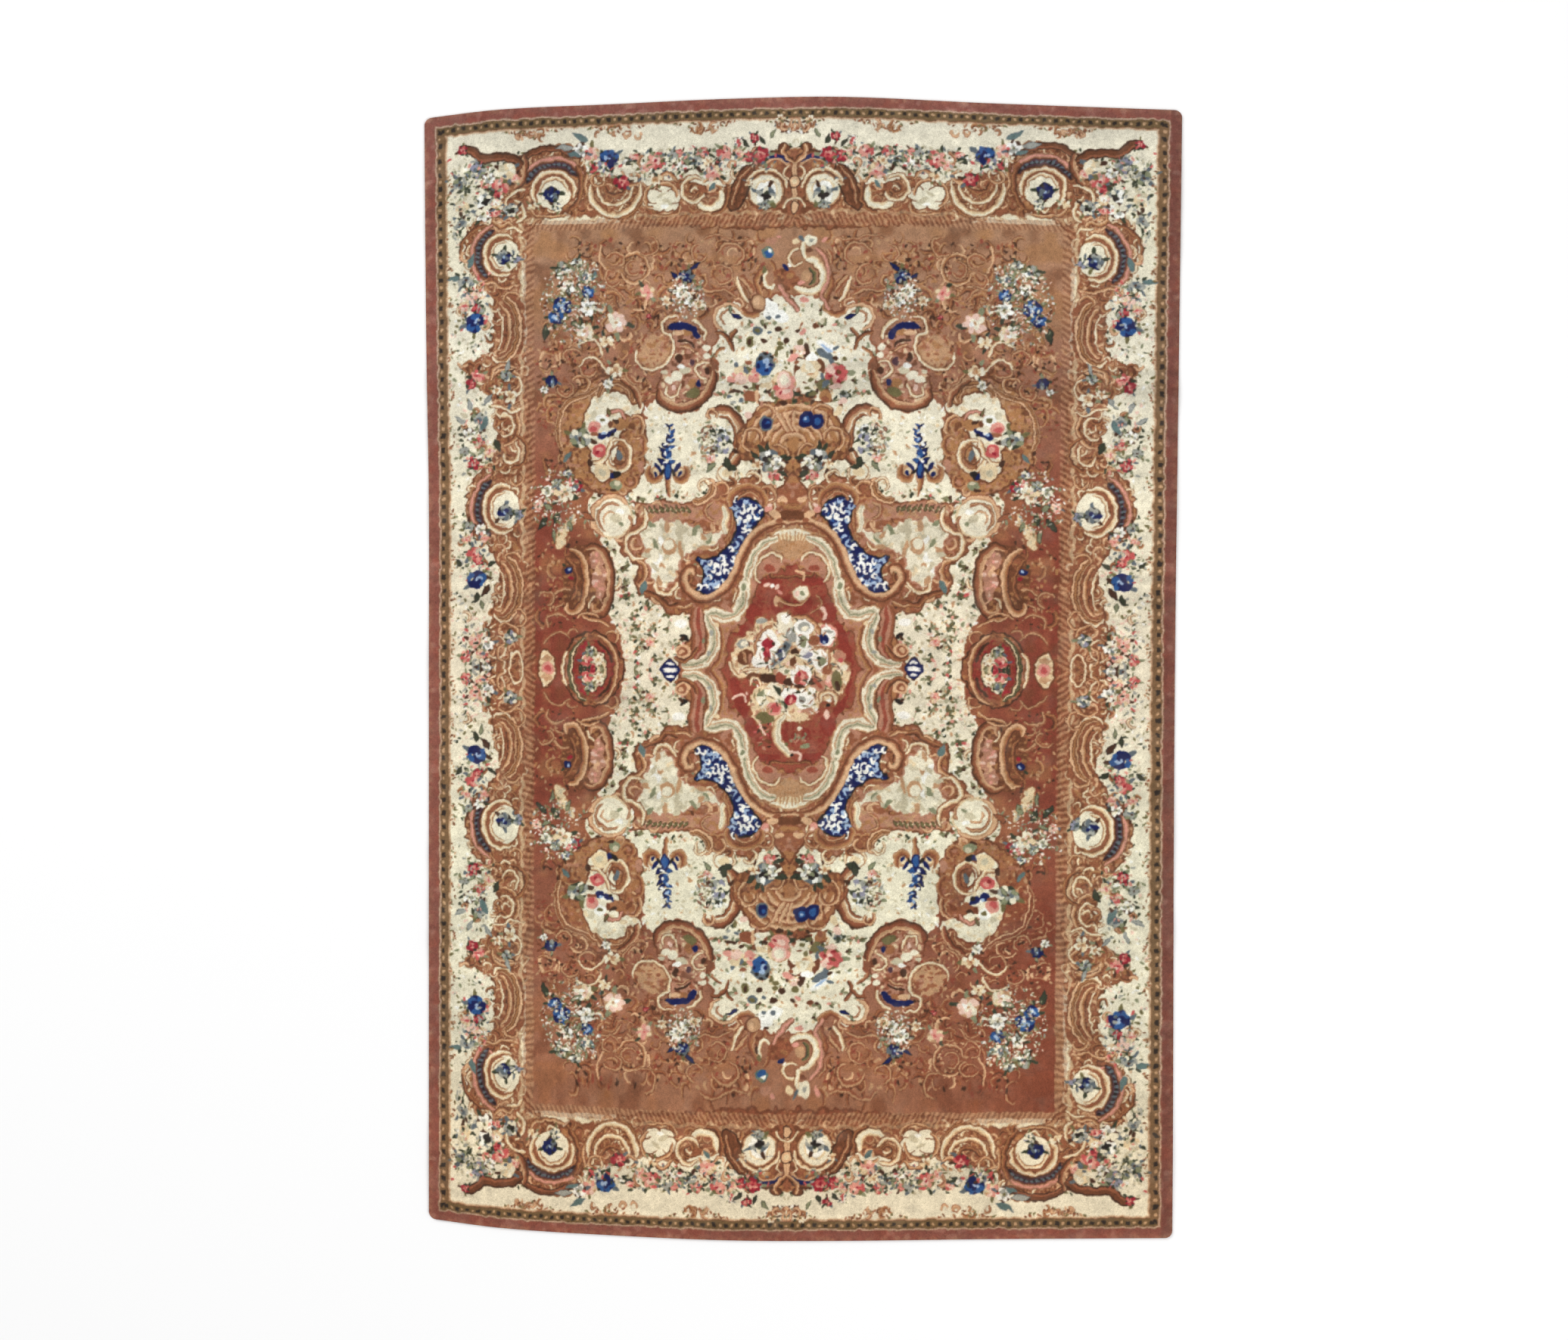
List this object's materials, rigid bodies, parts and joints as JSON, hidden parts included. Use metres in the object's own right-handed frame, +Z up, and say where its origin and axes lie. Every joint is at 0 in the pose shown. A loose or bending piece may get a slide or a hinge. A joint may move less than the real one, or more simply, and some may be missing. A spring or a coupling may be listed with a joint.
{
  "type": "axminster carpet",
  "caption": "Large floral axminster carpet with a scrolled field, a flower border and a plain outer band, lying flat with soft creases.",
  "frame": {"origin": "on the floor, at the middle of the carpet's bounding rectangle", "axes": "+X runs across the carpet, +Y along it from the near end to the far end, and +Z up out of the pile"},
  "size_m": [4.0432, 6.1072, 0.016],
  "materials": {
    "pile_wool": "short cut wool pile, matt, softly worn"
  },
  "bodies": {
    "root": {"carpet": "pile_wool"}
  },
  "joints": []
}
